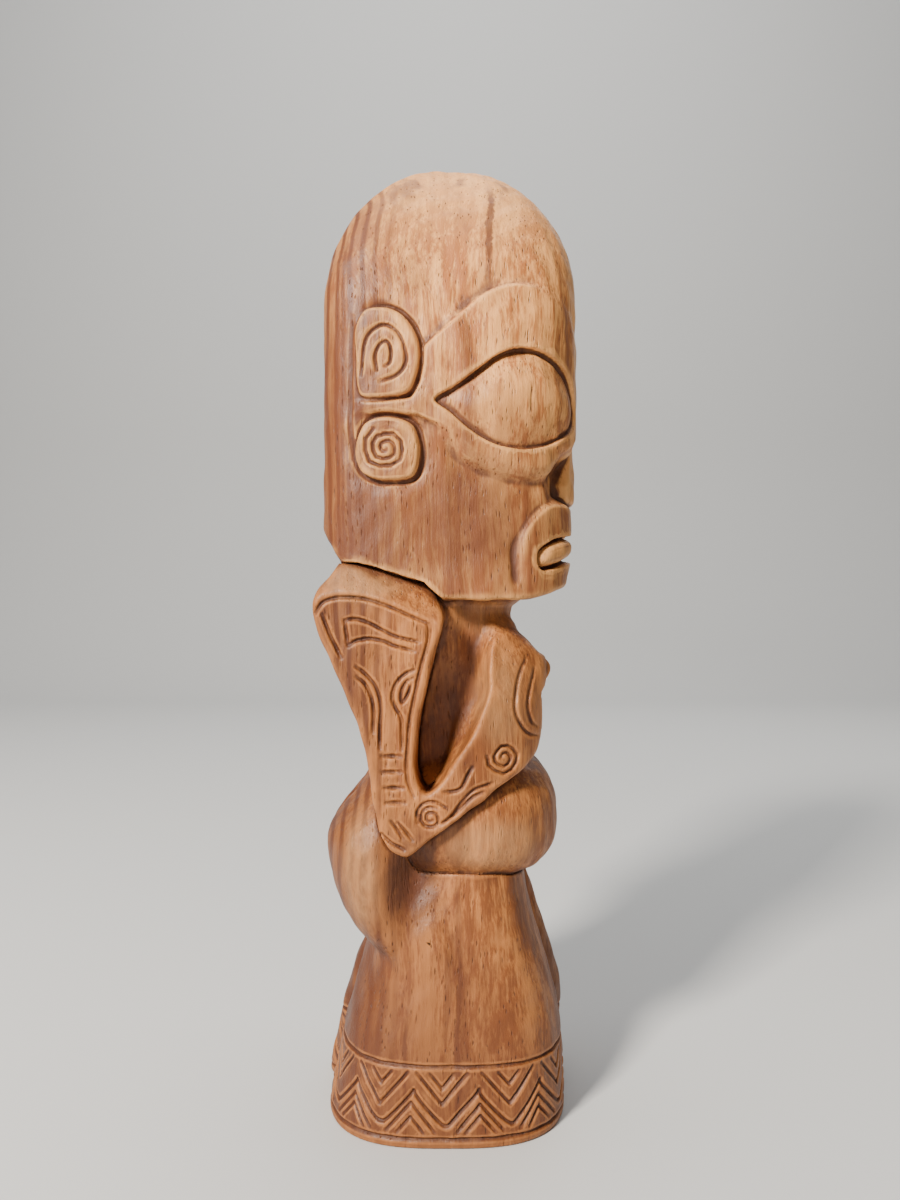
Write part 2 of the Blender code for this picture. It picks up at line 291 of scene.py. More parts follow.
EAR_LOOP = [
    (-25.4, 225.5), (-25, 230), (-24.4, 234.5), (-22.6, 238.2), (-19.1, 240.1), (-15.4, 238.4), (-13, 234),
    (-12.5, 229), (-15, 225.3), (-19.5, 223.4),
]
EAR_CURL = [
    (-20.6, 226.6), (-21.2, 231), (-19.8, 234.5), (-17.8, 235), (-16.8, 232.4), (-17, 229), (-18.2, 227.9),
]
WING_HEIGHT, BRIDGE_HEIGHT, NOSE_FOOT = 195, 207.5, 189.4


def spiral(centre_u, centre_z, outer, inner, turns, start, stretch=1):
    """Points of an uneven spiral from outside in; start is its first angle in degrees, stretch its height."""
    count = int(11 * turns)
    t = np.arange(count + 1) / count
    angle = math.radians(start) + 2 * math.pi * turns * t
    radius = (outer + (inner - outer) * t) * (1 + 0.05 * np.sin(2.3 * count * t + start))
    return np.stack([centre_u + radius * np.cos(angle), centre_z + stretch * radius * np.sin(angle)], axis=1)


def head_relief(heights):
    """Brow, eyes, ears, nose and mouth, drawn on the unrolled side of the head."""
    face = Map(-70, FACE_CENTRE + 1, heights)
    u, z = face.u, face.z

    # The raised band: brow, lids, and the bar that runs back between the ears.
    bar_top = [(-34, 219), (-26, 218.4), (-11.6, 219.4), (-9.2, 224), (-8.3, 229)]
    bar_foot = [(-9, 213.4), (-18, 214), (-34, 214)]
    front = [(70, 249), (70, 209)]
    edge = face.area(np.vstack([bar_top, spline(BROW), front, spline(LOWER_LID)[::-1], bar_foot]))
    fade_back = ramp(u, -31, -20)
    brow_side = ramp(z, 226, 240)
    softness = 0.9 + 11.0 * ramp(u, 20, 48) * brow_side + 2.0 * (1 - brow_side) * ramp(u, -6, 2)
    raised = ramp(-edge, -0.5, softness) * fade_back
    forehead = 0.85 * ramp(u, 34, 56) * ramp(z, 232, 250)
    face.height += np.maximum(RELIEF * raised, forehead)
    near_edge = np.exp(-(((edge - 2.4) / 3.2) ** 2)) * ramp(edge, -0.6, 1.6)
    temple = ramp(u, -10, -2) * (1 - ramp(u, 18, 34)) * brow_side
    under_lid = ramp(u, -8, 4) * (1 - brow_side) * (1 - ramp(u, 40, 47))
    face.height -= near_edge * (0.55 * temple + 0.8 * under_lid)

    # The nose keeps the skull's height, while the cheek beside it is cut back to the lid and the lip.
    wing_levels = [NOSE_FOOT - 0.6, NOSE_FOOT + 2.2, WING_HEIGHT, BRIDGE_HEIGHT]
    wing = np.interp(z, wing_levels, [47.6, 44.2, 43.9, 51])
    nose = ramp(u - wing, -1.2, 1.2) * ramp(z, NOSE_FOOT - 0.9, NOSE_FOOT + 0.9)
    cheek = ramp(z, 158, 176) * (1 - ramp(z, 198, 209)) * ramp(edge, 0, 3)
    face.height -= 1.2 * cheek * ramp(u, -22, 8) * (1 - nose)
    hollow = ramp(u, 30, 43) * (1 - nose) * ramp(z, NOSE_FOOT - 1, 192) * (1 - ramp(z, 199, 207.5))
    face.height -= 4.4 * hollow
    face.height += nose * (1 - ramp(z, 200, 210)) * (0.5 - 1.5 * (1 - ramp(u, wing, wing + 8)))

    # Muzzle, standing out from the cheek behind it.
    muzzle = face.area(np.vstack([spline(MUZZLE), [(70, 154), (70, 188.7)]]))
    step = ramp(-muzzle, -0.6, 1.6 + 3.0 * (1 - ramp(z, 158, 182)))
    face.height += 1.3 * step * (1 - 0.7 * ramp(u, 40, 56)) * (0.35 + 0.65 * ramp(z, 156, 176))
    beside_mouth = 0.15 + 0.6 * ramp(z, 162, 167) * (1 - ramp(z, 174, 180))
    face.height -= beside_mouth * np.exp(-(((muzzle - 0.8) / 1.3) ** 2)) * (1 - nose)
    face.height -= 2.4 * ramp(u, 32, 50) * (1 - ramp(z, 162, 174))

    # Mouth: a deep slot with a bulging lens of lip in it.
    slot = face.area(spline(MOUTH, closed=True, pieces=4))
    lip = face.area(spline(LIPS, closed=True, pieces=4))
    swell = np.clip(-lip / 3, 0, 1)
    lens = 3.9 - 1.2 * ramp(u, 38, 52) * (1 - 0.5 * ramp(z, 172, 177))
    face.height += ramp(-slot, -0.1, 0.6) * (-3.2 + lens * (1 - (1 - swell) ** 2.2) ** 0.6)

    # Eye: a groove round a domed almond, deepest under the brow.
    eye = face.area(spline(EYE, closed=True))
    inner = np.clip((-eye - 0.7) / 14, 0, 1)
    rim = 1.5 + 1.1 * ramp(z, 214, 228)
    dome = soften((rim + 1.3) * (1 - (1 - inner) ** 2) ** 0.8, 6)
    face.height += ramp(-eye, -0.1, 0.45) * (dome * ramp(-eye, 0.5, 2.2) - rim)

    # Ears: discs edged by a groove, each with a spiral.
    clear = 1 - ramp(-edge, 0, 0.5) * fade_back
    shallow = 1 - 0.6 * ramp(-edge, 0.6, 1.6) * fade_back
    for outline, closes in ((UPPER_EAR, -18), (LOWER_EAR, -24)):
        disc = face.area(spline(outline, closed=True))
        face.height += RELIEF * ramp(-disc, -0.2, 0.7) * clear * ramp(u, -33, -23)
        near = np.exp(-(((disc - 0.5) / 0.8) ** 2))
        wide = 0.5 * np.exp(-(((disc - 1.5) / 2.2) ** 2)) * (disc > 0)
        face.height -= 1.1 * (near + wide) * ramp(u, closes - 10, closes) * shallow
    face.groove([(-28.6, 243), (-29.2, 236), (-29.4, 225), (-29.6, 211), (-28.9, 201)], 2, 0.45)
    face.groove(EAR_LOOP, 1.6, 0.9)
    face.groove(EAR_CURL, 1.5, 0.9)
    face.groove(spiral(-18.3, 203.9, 6.6, 1, 2.4, 120, 0.97), 1.5, 0.9, curved=False)
    face.groove([(23.7, 222.8), (23.3, 219), (23.1, 214.7)], 0.7, 0.4, curved=False)
    return face


def head_field(cut):
    z = ZS[cut][None, None, :]
    u, v = (X - SKULL_MIDDLE) / SKULL_HALF, Y / SKULL_SIDE
    n = np.where(u > 0, SQUARE_FRONT, SQUARE_BACK)
    flat = rounded(u, v, n)
    share = u * u / (u * u + v * v + 0.02)
    start = CROWN_SIDE + share * (np.where(u > 0, CROWN_FRONT, CROWN_BACK) - CROWN_SIDE)
    rise = np.maximum(z - start, 0) / (CROWN_TOP - start)
    power = 1.76 + 0.2 * share
    field = as_distance((flat**power + rise**power) ** (1 / power) - 1)
    field -= head_relief(ZS[cut]).spread(along_head(X[:, :, 0], Y[:, :, 0]))
    jaw = JAW + 0.014 * np.maximum(X - 18, 0) ** 2
    field = smooth_max(field, jaw - z, 1.6)
    nape = (176.0 - z) * 0.56 + (-36.6 - X) * 0.83
    field = smooth_max(field, nape, 1)
    return np.maximum(field, (neckline(X) - z) * 0.93)


NECKLINE = [(-60, 171), (-28, 170.5), (-8, 164.5), (-2.5, JAW), (60, JAW)]
UNDER_HEAD = 2.0  # how far the neck and the shoulders run on inside the head


def neckline(x):
    """Height at which the head sits on the neck and the shoulders."""
    return np.interp(x, *zip(*NECKLINE)).astype(np.float32)


# Arms.

ARM = [
    (-29.8, 172), (-36.2, 166.2), (-39.8, 161.4), (-40.7, 156.6), (-39.4, 150.4), (-35, 140.5),
    (-30.6, 130.3), (-26.6, 120.5), (-24.2, 110), (-22.8, 100.3), (-21, 91.4), (-18, 86.4), (-13.6, 84.1),
    (-9.5, 86.4), (-3.3, 91.4), (3, 95.6), (8.9, 99.8), (15, 104.2), (20.5, 107.6), (25.3, 111.6),
    (28.2, 117.6), (29.3, 125), (28.2, 132), (24.4, 139), (19.8, 144.4), (16.4, 146), (14, 142.6),
    (12.2, 137.6), (10.8, 130.8), (8.4, 124.6), (4.4, 117), (-0.3, 110), (-4.4, 104.4), (-7.2, 102.6),
    (-9.6, 105.6), (-10.5, 111.4), (-9.7, 121), (-8, 130.3), (-4.9, 143.2), (-2.6, 151.6), (-2.8, 156.6),
    (-5.4, 162), (-8.4, 166.6),
]
ARRIS = [
    (-41, 158.2), (-37.7, 160.9), (-32.6, 162), (-25.1, 161.4), (-17.5, 158.9), (-8.7, 154.9), (-2, 151.6),
]
ARM_LINES = [
    # Shoulder: the line under the cap, then two waves in a box.
    [(-39.6, 155.4), (-37.7, 158.3), (-34.5, 159.7), (-30.1, 160), (-25.1, 159.5), (-20.7, 158.2),
     (-16.2, 156.5), (-11.2, 154.2), (-7, 152.4)],
    [(-37.6, 155), (-36.5, 152), (-35.1, 148.5), (-33.6, 145.4), (-32.1, 142.5)],
    [(-31, 153.3), (-28.2, 153.7), (-24.4, 152.7), (-20.7, 150.8), (-16.9, 148.9), (-13.1, 147.8),
     (-9.6, 147.1)],
    [(-31, 153), (-30.6, 149.6), (-30.2, 146.4)],
    [(-30, 145.9), (-27.6, 147.4), (-23.8, 147.9), (-20, 147.3), (-16.9, 146), (-13.7, 145.1),
     (-10.9, 144.4)],
    # The line along the arm's front edge.
    [(-6.6, 152), (-6.6, 148.5), (-7.4, 144.8), (-8.7, 140.3), (-9.8, 135.9), (-10.8, 130.9),
     (-11.8, 125.9), (-12.5, 120.8), (-12.8, 115.8), (-13, 110.8), (-12.6, 106), (-11, 102)],
    # Leaves.
    [(-27.8, 139.8), (-25.1, 137.7), (-22.5, 134.7), (-21.1, 131.5), (-20.5, 127.8), (-20.8, 122),
     (-20.8, 116)],
    [(-27.6, 136.8), (-25.3, 134.9), (-23.7, 132), (-22.9, 129), (-22.6, 125.2), (-22.9, 120.5)],
    [(-10.8, 138.9), (-13.7, 137.5), (-16.2, 134.7), (-17.2, 130.9), (-16.2, 127.6), (-14.6, 124.6),
     (-14.3, 119), (-14.4, 115.6)],
    [(-11.4, 136.4), (-13.3, 135.1), (-14.5, 132.6), (-14.4, 129.4), (-12.6, 132), (-11.6, 135)],
    # Elbow.
    [(-17.5, 94.9), (-15.9, 92.6), (-14.2, 89.8)],
    [(-15.6, 94.4), (-13.6, 92.1), (-11.3, 89.3)],
    [(-20.2, 91), (-17.5, 88.5), (-13.7, 86.6)],
    [(-9.8, 94.4), (-9.9, 97.6), (-7.8, 100), (-4.6, 100.3), (-1.4, 98.6)],
    # Forearm.
    [(-2.2, 103.4), (0.4, 103.4), (2.6, 104.2), (3.8, 106), (4.8, 108.2), (6.2, 110.4)],
    [(-3.4, 93.7), (0, 96.3), (3.3, 100.6), (6.4, 103.6), (9.4, 104.7), (12.2, 105.4)],
    [(0.4, 96), (3.2, 98.8), (6.2, 101.6), (9.6, 103.1)],
    # Hand.
    [(22.8, 141.6), (20.6, 137), (19.4, 132), (19, 126.6), (20.6, 122.2), (23.2, 119), (26.4, 117.8)],
    [(25.4, 138.2), (23.9, 132.6), (23, 127.3), (24.2, 122.6), (26.2, 120.6)],
]
LADDER = [(-17.4, 113.7), (-17.3, 109.1), (-16.8, 104.5), (-16.3, 100.2)]


def arm_outer(x, z):
    """How far out the arm's face lies: flat to the elbow, turning in round the chest at the hand."""
    turn = np.clip((x + 2) / 31.8, 0, 1)
    face = -11.5 + (ARM_OUT + 11.5 + 0.4) * np.sqrt(1.0 - turn * turn)
    over = z - np.interp(x, *zip(*ARRIS))
    raised = z - 130.0
    tilt = 0.31 * ramp(x, 5, 15) * (raised + np.sqrt(raised * raised + 9))
    return face + tilt + 0.4 * (over + np.sqrt(over * over + 0.3))


def arm_relief(heights):
    """The tattoo lines on the outer face of the arm, seen from the side."""
    skin = Map(-45, 34, heights)
    for line in ARM_LINES:
        skin.groove(line, 1.5, 0.95)
    for place, height in LADDER:
        skin.groove([(place - 2.8, height), (place + 2.8, height)], 1.7, 0.95, curved=False)
        for side in (-1.6, 1.4):
            skin.groove([(place + side, height + 1.6), (place + side, height + 3.4)], 0.9, 0.45, curved=False)
    skin.groove(spiral(-6, 95.6, 3.5, 0.8, 1.7, 60), 1.5, 0.95, curved=False)
    skin.groove(spiral(15.6, 112.6, 5.1, 0.9, 2, 170), 1.4, 1, curved=False)
    return skin


def arm_field(cut):
    z = ZS[cut]
    outline = Map(XS[0], XS[-1] + STEP, z, STEP).area(spline(ARM, closed=True, pieces=5))
    edge = outline[: len(XS), None, :].astype(np.float32)
    heights = arm_relief(z).spread(XS.astype(float))[:, None, :]
    out = arm_outer(XS[:, None].astype(float), z[None, :].astype(float))[:, None, :].astype(np.float32)
    field = smooth_max(edge, (out - Y) * 0.95, 1.8) - heights * ramp(out + 6.0 - Y, 0, 3)
    field = np.maximum(field, Y + 18)
    return np.maximum(field, z[None, None, :] - neckline(X) - UNDER_HEAD)


# Torso.

CHEST = [
    # height, back, front, half width
    (84, -22, 20, 20.5), (100, -22.5, 21.5, 20), (112, -23.5, 22.5, 19.6), (124, -26, 23.5, 19.6),
    (134, -28.5, 23.6, 20), (141, -30.5, 20.8, 20.8), (147, -32, 18.6, 21.4), (151, -33, 18.8, 21.8),
    (156, -33.6, 18.6, 21.6), (157.8, -33.6, 19.6, 21.9), (159, -33.6, 21.8, 22.6), (175, -33.6, 24, 23),
]
BREAST_ROOT, BREAST_TIP = (11.4, -11, 141.2), (25.9, -12, 136.8)
BREAST_ROOT_RADIUS, BREAST_TIP_RADIUS = 9.6, 2.7


def level_mass(cut, rows, n_back, n_front):
    """A mass whose level sections follow (height, back, front, half width) rows."""
    back, front, half = curve_through(ZS[cut], rows)
    middle, length = (back + front) / 2, (front - back) / 2
    u = (X - middle[None, None, :]) / length[None, None, :]
    n = np.where(X > middle[None, None, :], n_front, n_back).astype(np.float32)
    return as_distance(rounded(u, Y / half[None, None, :], n) - 1)


def cone(cut, root, tip, root_radius, tip_radius):
    """A round-ended cone."""
    along = np.array(tip) - np.array(root)
    length = float(along @ along)
    offset = (X - root[0], Y - root[1], ZS[cut][None, None, :] - root[2])
    t = np.clip(sum(o * a for o, a in zip(offset, along)) / length, 0, 1)
    squares = sum((o - t * a) ** 2 for o, a in zip(offset, along))
    return np.sqrt(squares) - (root_radius + (tip_radius - root_radius) * t)


def torso_field(cut):
    z = ZS[cut][None, None, :]
    field = level_mass(cut, CHEST, 3.2, 2.8)
    field = smooth_min(field, cone(cut, BREAST_ROOT, BREAST_TIP, BREAST_ROOT_RADIUS, BREAST_TIP_RADIUS), 1.6)
    field = np.maximum(field, 84.0 - z)
    return np.maximum(field, z - neckline(X) - UNDER_HEAD)


# Belly and hips.

BELLY_MIDDLE, BELLY_HEIGHT = 5, 90.5
BELLY_LENGTH, BELLY_SIDE = 29.4, 31.4
BELLY_RISE, BELLY_DROP = 22.8, 19.0
HIPS = [
    # height, back, front, half width
    (36, -6, 2, 18), (43, -15, 4, 25), (50, -23.5, 5, 29), (54.1, -27.6, 5, 30.6), (62.6, -34.2, 4, 32.4),
    (70.8, -37.6, 3, 33.2), (80, -39.4, 2, 33.2), (86, -39.5, 2, 32.2), (92, -36, 2, 30.2),
    (98.6, -30.4, 2, 26.4), (105.9, -24.8, 0, 21.5), (113, -17, -4, 15),
]


def belly_field(cut):
    z = ZS[cut]
    above = z > BELLY_HEIGHT
    up = np.where(above, (z - BELLY_HEIGHT) / BELLY_RISE, (BELLY_HEIGHT - z) / BELLY_DROP)[None, None, :]
    shape = np.where(above, 2.4, 2.8)[None, None, :].astype(np.float32)
    flat = rounded((X - BELLY_MIDDLE) / BELLY_LENGTH, Y / BELLY_SIDE, 2.3)
    return as_distance((flat**shape + up**shape) ** (1 / shape) - 1)


def thigh_hollow(z):
    """1 in the hollow between the buttock and the thigh, under the elbow."""
    lean = X + 10.5 - 0.10 * (z - 76)
    return np.exp(-((lean / 8) ** 2) - ((z - 77) / 17) ** 2) * ramp(-Y, 12, 24)


def hips_field(cut):
    z = ZS[cut][None, None, :]
    field = level_mass(cut, HIPS, 2.5, 2.5)
    field += 8.0 * thigh_hollow(z)
    cleft = np.exp(-((Y / 2.2) ** 2)) * ramp(-X, 22, 30)
    return field + 2.4 * cleft


# Legs.

LEG = [
    # height, back, front, half width
    (-4, -38.6, 36, 36.3), (1.5, -38.8, 36.2, 36.4), (5, -38.4, 36.2, 36.2), (14.2, -36.2, 35.8, 35.4),
    (18.4, -35.5, 35.6, 35), (25.7, -33.8, 35, 34.4), (32.9, -31.9, 33.9, 33.5), (40, -30, 32, 32.5),
    (46, -28.2, 30.2, 31.6), (52.4, -26.5, 28.2, 30.7), (58.1, -25.4, 26.5, 29.9),
    (66.6, -24.4, 24.4, 28.8), (76, -24, 23, 27.8), (92, -23, 22, 26.8),
]
LEG_SHAPE = 2.9
BAND_TOP, BAND_FOOT = 23, 2.9
ZIGZAGS = 6  # peaks round the outside of one leg
HEM_START = 2.0
PEAK, TROUGH = 16.3, 6.9
ZIGZAG_SLOPE = 1.12


def along_hem(x, y):
    """Distance round the foot of the right leg, from its front cleft to its back one."""
    middle, half = (BASE_BACK + BASE_FRONT) / 2, (BASE_FRONT - BASE_BACK) / 2
    around = np.linspace(0, math.pi, 4001)
    px = half * np.sign(np.cos(around)) * np.abs(np.cos(around)) ** (2 / LEG_SHAPE)
    py = -BASE_OUT * np.abs(np.sin(around)) ** (2 / LEG_SHAPE)
    length = np.concatenate([[0.0], np.cumsum(np.hypot(np.diff(px), np.diff(py)))])
    here = np.arctan2(np.maximum(-y, 0), x - middle)
    return np.interp(here, np.arctan2(py, px), length), length[-1]


def hem_relief(heights, total):
    """Rim line, top line and nested zigzags, repeated round the foot of the leg."""
    band = Map(-1, total + 1, heights)
    span = (total - 2 * HEM_START) / ZIGZAGS
    for level in (BAND_TOP, BAND_FOOT):
        band.groove([(-2, level), (total + 2, level)], 1.3, 0.9, taper=False, curved=False)

    def uneven(k, size):
        return size * math.sin(2.6 * k + 0.7)

    def corner(place, tip, end, width):
        """A V whose arms run from its tip to another height."""
        run = abs(end - tip) / ZIGZAG_SLOPE
        band.groove([(place - run, end), (place, tip), (place + run, end)], width, 0.85, curved=False)

    line = []
    for k in range(-1, 2 * ZIGZAGS + 2):
        here, there = (TROUGH, PEAK) if k % 2 == 0 else (PEAK, TROUGH)
        flat = (0, 0.28, 0.92) if k % 2 == 0 else (0, 0.12, 0.76)
        for share, rise in zip(flat, (0, 0.16, 0.86)):
            height = here + (there - here) * rise + uneven(k, 0.4)
            line.append((HEM_START + (k + share) * span / 2, height))
    band.groove(line, 1.4, 0.95, taper=False)
    for k in range(ZIGZAGS + 1):
        place = HEM_START + (k + 0.05) * span + uneven(k, 0.5)
        corner(place, TROUGH + 5.4 + uneven(k, 0.4), BAND_TOP - 1.7, 1.3)
        corner(place, TROUGH + 10.4 + uneven(k + 1, 0.4), BAND_TOP - 1.9, 1.2)
    for k in range(ZIGZAGS):
        place = HEM_START + (k + 0.52) * span + uneven(k + 2, 0.5)
        corner(place, PEAK - 3.6 + uneven(k, 0.3), BAND_FOOT + 2, 1.3)
        corner(place, PEAK - 7.0 + uneven(k + 1, 0.3), BAND_FOOT + 1.8, 1.2)
    return band


def leg_field(cut):
    z = ZS[cut]
    field = level_mass(cut, LEG, LEG_SHAPE, LEG_SHAPE)
    ends = np.abs((X - (BASE_BACK + BASE_FRONT) / 2) / ((BASE_FRONT - BASE_BACK) / 2)) ** 7
    field = smooth_max(field, Y + 0.15 + 6.0 * np.minimum(ends, 1.2), 4.5)
    field += 4.2 * thigh_hollow(z[None, None, :])
    place, total = along_hem(X[:, :, 0], Y[:, :, 0])
    field -= hem_relief(z, total).spread(place) * ramp(-Y, 0.5, 3)
    calf = np.exp(-(((X + 25) / 10) ** 2) - ((z[None, None, :] - 45) / 10) ** 2)
    field += 1.7 * calf * ramp(-Y, 8, 18)
    return smooth_max(field, -z[None, None, :], 1.2)


# The whole figure and its pieces.

MASSES = {
    # node: (field, lowest and highest level)
    "leg": (leg_field, -2, 93),
    "hips": (hips_field, 38, 113),
    "belly": (belly_field, 70, 116),
    "torso": (torso_field, 80, 176),
    "arm": (arm_field, 80, 176),
    "head": (head_field, 154, TOP + 3),
}


def above_forearm(z):
    """1 above the forearm's upper edge, where the arm runs on into the chest."""
    return ramp(z - 97.0 - 0.93 * (X + 5), 0, 4)


def softness(name, z):
    """How softly a mass joins what is already there, in millimetres."""
    if name == "hips":
        return 0.9 + 4.0 * ramp(X, -24, -6)
    if name == "arm":
        at_breast = 9.0 * ramp(X, 6, 14) * ramp(z, 128, 140)
        return 0.8 + above_forearm(z) * (8.0 * ramp(X, -5, 2) + at_breast)
    return {"leg": 1, "belly": 0.5, "torso": 2, "head": 0.5}[name]


# Width and depth of the line round a mass.
CREASE = {"belly": (0.45, 0.7), "arm": (0.5, 0.8), "head": (0.5, 0.8)}


def crease(name, before, values, z):
    """Cuts a line into what is already there, along the edge of the mass that joins it."""
    if name not in CREASE:
        return before
    width, depth = CREASE[name]
    if name == "arm":
        depth = depth * (1 - above_forearm(z) * ramp(X, -6, 0))
    if name == "head":
        depth = depth * (1 - ramp(X, -6, -3))
    return smooth_max(before, np.minimum(before + depth, width - values), 0.4)


def unevenness(z):
    """The slight unevenness that a knife leaves."""
    return 0.15 * (
        np.sin(0.43 * X + 0.21 * z + 1.7 * np.sin(0.17 * Y + 0.11 * z)) * np.sin(0.37 * Y - 0.12 * z + 0.8)
        + np.sin(0.71 * Y + 0.33 * z + 2.1 * np.sin(0.19 * X)) * np.sin(0.52 * X - 0.24 * z)
    )


def carve():
    """Distance arrays of every mass, and of the whole figure."""
    whole = np.full((len(XS), len(YS), len(ZS)), FAR, np.float32)
    made = {}
    for name, (field, *span) in MASSES.items():
        cut = levels(*span)
        z = ZS[cut][None, None, :]
        values = np.clip(field(cut) + unevenness(z) * ramp(z, 0.5, 3), -FAR, FAR).astype(np.float32)
        made[name] = (cut, values)
        before = crease(name, whole[:, :, cut], values, z)
        whole[:, :, cut] = smooth_min(before, values, softness(name, z))
    return whole, made


def territory(name, made):
    """Negative where this mass is the nearest one, and positive where another is."""
    cut, values = made[name]
    nearest = np.full(values.shape, FAR, np.float32)
    for other, (other_cut, other_values) in made.items():
        low, high = max(cut.start, other_cut.start), min(cut.stop, other_cut.stop)
        if other == name or low >= high:
            continue
        here = slice(low - cut.start, high - cut.start)
        there = slice(low - other_cut.start, high - other_cut.start)
        nearest[:, :, here] = np.minimum(nearest[:, :, here], other_values[:, :, there])
    return (values - nearest) / 2


def mirrored(values):
    """The right half's array with the left half added."""
    half = values[:, : MIDDLE + 1]
    return np.concatenate([half, half[:, -2::-1]], axis=1)


def net(field, origin):
    """Surface net: one vertex in each grid cell that the surface passes through, and a quad across each
    grid edge that it cuts."""
    inside = field < 0
    corners = inside.astype(np.uint8)
    corners = corners[:-1] + corners[1:]
    corners = corners[:, :-1] + corners[:, 1:]
    corners = corners[:, :, :-1] + corners[:, :, 1:]
    cells = np.argwhere((corners > 0) & (corners < 8))
    number = np.full(corners.shape, -1, np.int32)
    number[tuple(cells.T)] = np.arange(len(cells))
    total = np.zeros((len(cells), 3))
    count = np.zeros(len(cells))
    for axis in range(3):
        others = [a for a in range(3) if a != axis]
        for first in (0, 1):
            for second in (0, 1):
                start = cells.copy()
                start[:, others[0]] += first
                start[:, others[1]] += second
                end = start.copy()
                end[:, axis] += 1
                a, b = field[tuple(start.T)], field[tuple(end.T)]
                cut = (a < 0) != (b < 0)
                t = a[cut] / (a[cut] - b[cut])
                point = start[cut].astype(float)
                point[:, axis] += t
                total[cut] += point
                count[cut] += 1
    points = total / count[:, None] * STEP + np.array(origin)
    quads = []
    for axis in range(3):
        b, c = [(1, 2), (2, 0), (0, 1)][axis]
        here, there = [slice(None)] * 3, [slice(None)] * 3
        here[axis], there[axis] = slice(0, -1), slice(1, None)
        low, high = inside[tuple(here)], inside[tuple(there)]
        edges = np.argwhere(low != high)
        keep = (edges[:, b] > 0) & (edges[:, c] > 0)
        keep &= (edges[:, b] < corners.shape[b]) & (edges[:, c] < corners.shape[c])
        edges = edges[keep]
        ring = []
        for step_b, step_c in ((-1, -1), (0, -1), (0, 0), (-1, 0)):
            cell = edges.copy()
            cell[:, b] += step_b
            cell[:, c] += step_c
            ring.append(number[tuple(cell.T)])
        ring = np.stack(ring, axis=1)
        outward = low[tuple(edges.T)]
        ring[~outward] = ring[~outward][:, ::-1]
        quads.append(ring)
    return points, np.vstack(quads)


class Sampler:
    """Smooth reading of a grid between its points."""

    def __init__(self, field, origin):
        self.field, self.origin = field, np.array(origin)

    def __call__(self, points):
        place = (points - self.origin) / STEP
        index = np.clip(np.floor(place).astype(int), 0, np.array(self.field.shape) - 2)
        part = np.clip(place - index, 0, 1)
        value = 0.0
        for i in (0, 1):
            for j in (0, 1):
                for k in (0, 1):
                    weight = np.prod(np.abs(1 - np.array((i, j, k)) - part), axis=1)
                    value = value + weight * self.field[tuple((index + (i, j, k)).T)]
        return value

    def slope(self, points):
        """The rate of change along X, Y and Z."""
        reach = 0.5 * STEP
        rises = [self(points + offset) - self(points - offset) for offset in reach * np.eye(3)]
        return np.stack(rises, axis=1) / (2 * reach)


def settle(points, skin, border):
    """Moves each vertex onto the surface, and those by the border onto the edge where the two meet."""
    for _ in range(3):
        a, b = skin(points), border(points)
        slope_a, slope_b = skin.slope(points), border.slope(points)
        size_a = np.maximum((slope_a**2).sum(1), 0.05)
        size_b = np.maximum((slope_b**2).sum(1), 0.05)
        both = (slope_a * slope_b).sum(1)
        span = size_a * size_b - both**2
        corner = (np.abs(a) < 0.75 * STEP) & (np.abs(b) < 0.75 * STEP) & (span > 0.1 * size_a * size_b)
        span = np.maximum(span, 1e-3)
        move_a = np.where(corner, (a * size_b - b * both) / span, np.where(a > b, a / size_a, 0))
        move_b = np.where(corner, (b * size_a - a * both) / span, np.where(a > b, 0, b / size_b))
        move = move_a[:, None] * slope_a + move_b[:, None] * slope_b
        length = np.maximum(np.linalg.norm(move, axis=1), 1e-6)
        points = points - move * np.minimum(1, 0.6 * STEP / length)[:, None]
    return points


def piece_mesh(name, points, quads):
    mesh = bpy.data.meshes.new(name)
    mesh.vertices.add(len(points))
    mesh.vertices.foreach_set("co", (points * MM).astype(np.float32).ravel())
    mesh.loops.add(quads.size)
    mesh.loops.foreach_set("vertex_index", quads.astype(np.int32).ravel())
    mesh.polygons.add(len(quads))
    mesh.polygons.foreach_set("loop_start", np.arange(0, quads.size, 4, dtype=np.int32))
    mesh.update(calc_edges=True)
    mesh.validate()
    made = bpy.data.objects.new(name, mesh)
    bpy.context.scene.collection.objects.link(made)
    return made


def thin_out(made, most_triangles):
    """Collapses small faces where the surface is flat enough."""
    triangles = 2 * len(made.data.polygons)
    if triangles <= most_triangles:
        return
    modifier = made.modifiers.new("thin", "DECIMATE")
    modifier.ratio = most_triangles / triangles
    graph = bpy.context.evaluated_depsgraph_get()
    thinned = bpy.data.meshes.new_from_object(made.evaluated_get(graph))
    made.modifiers.clear()
    full, made.data = made.data, thinned
    bpy.data.meshes.remove(full)


def vertices_of(made):
    """The places of an object's vertices, in millimetres."""
    co = np.empty(len(made.data.vertices) * 3, np.float32)
    made.data.vertices.foreach_get("co", co)
    return co.reshape(-1, 3).astype(float) / MM


# The wood paints shade in the hollows and highlight on exposed places from these values.
def mark_hollowness(made, skin):
    """Stores how hollow (negative) or exposed (positive) the wood is at each vertex."""
    points = vertices_of(made)
    points[:, 1] = -np.abs(points[:, 1])
    for label, reach in (("hollow_fine", 0.9), ("hollow_wide", 3)):
        total = -6.0 * skin(points)
        for offset in reach * np.eye(3):
            total += skin(points - offset) + skin(points + offset)
        layer = made.data.attributes.new(label, "FLOAT", "POINT")
        layer.data.foreach_set("value", (total / reach).astype(np.float32))


whole, made = carve()
whole_skin = Sampler(whole, (XS[0], YS[0], ZS[0]))


